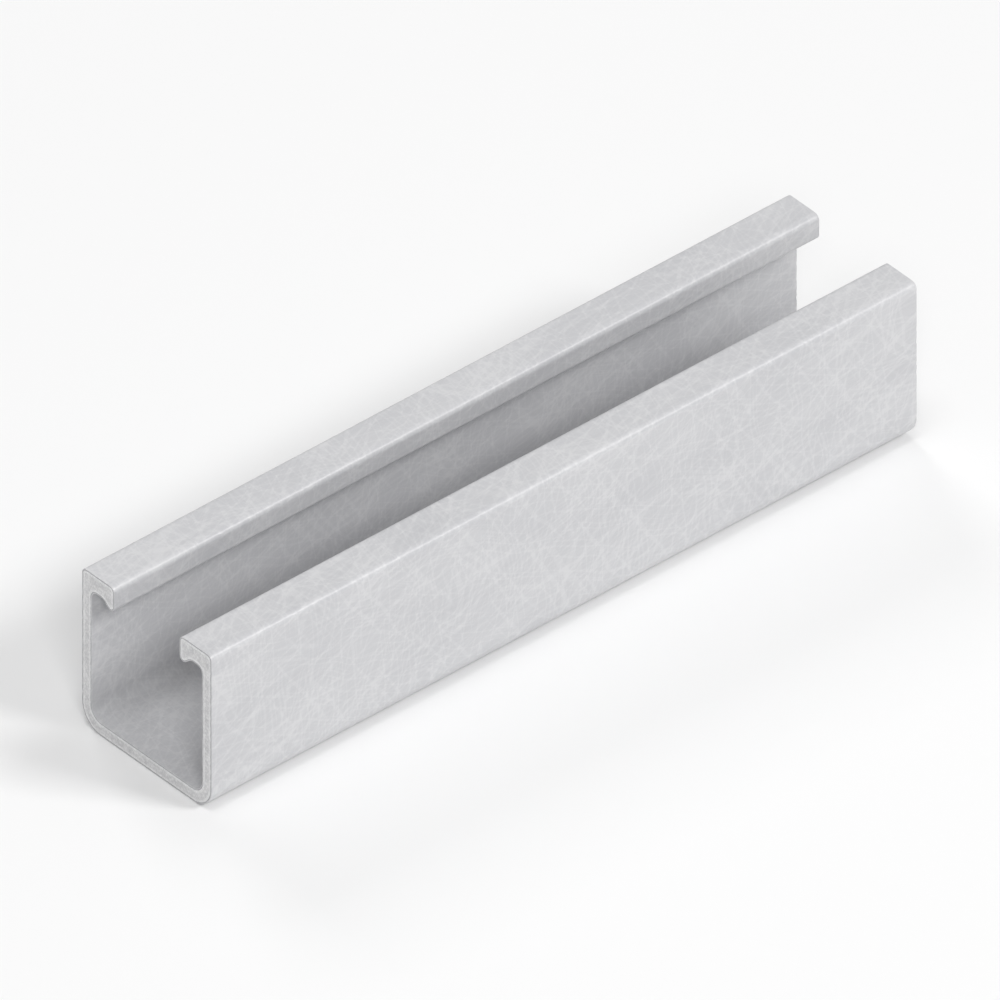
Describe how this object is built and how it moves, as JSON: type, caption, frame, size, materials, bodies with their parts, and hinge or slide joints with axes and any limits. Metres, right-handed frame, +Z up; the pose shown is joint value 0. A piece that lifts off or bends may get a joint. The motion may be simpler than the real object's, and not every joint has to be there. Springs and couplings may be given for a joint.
{
  "type": "fiberglass strut channel",
  "caption": "Pultruded fiberglass C-shaped strut channel with beaded inturned lips and an open slot, for channel nuts, clamps and pipe supports.",
  "frame": {"origin": "middle of the underside of the web that the channel stands on", "axes": "+X along the channel's length, +Y across it, +Z up out of the slot"},
  "size_m": [0.195, 0.0412, 0.0413],
  "materials": {
    "fiberglass": "light grey pultruded glass-fibre polyester, satin veil surface with fine lengthwise strands; sawn ends"
  },
  "bodies": {
    "root": {"strut_channel": "fiberglass"}
  },
  "joints": []
}
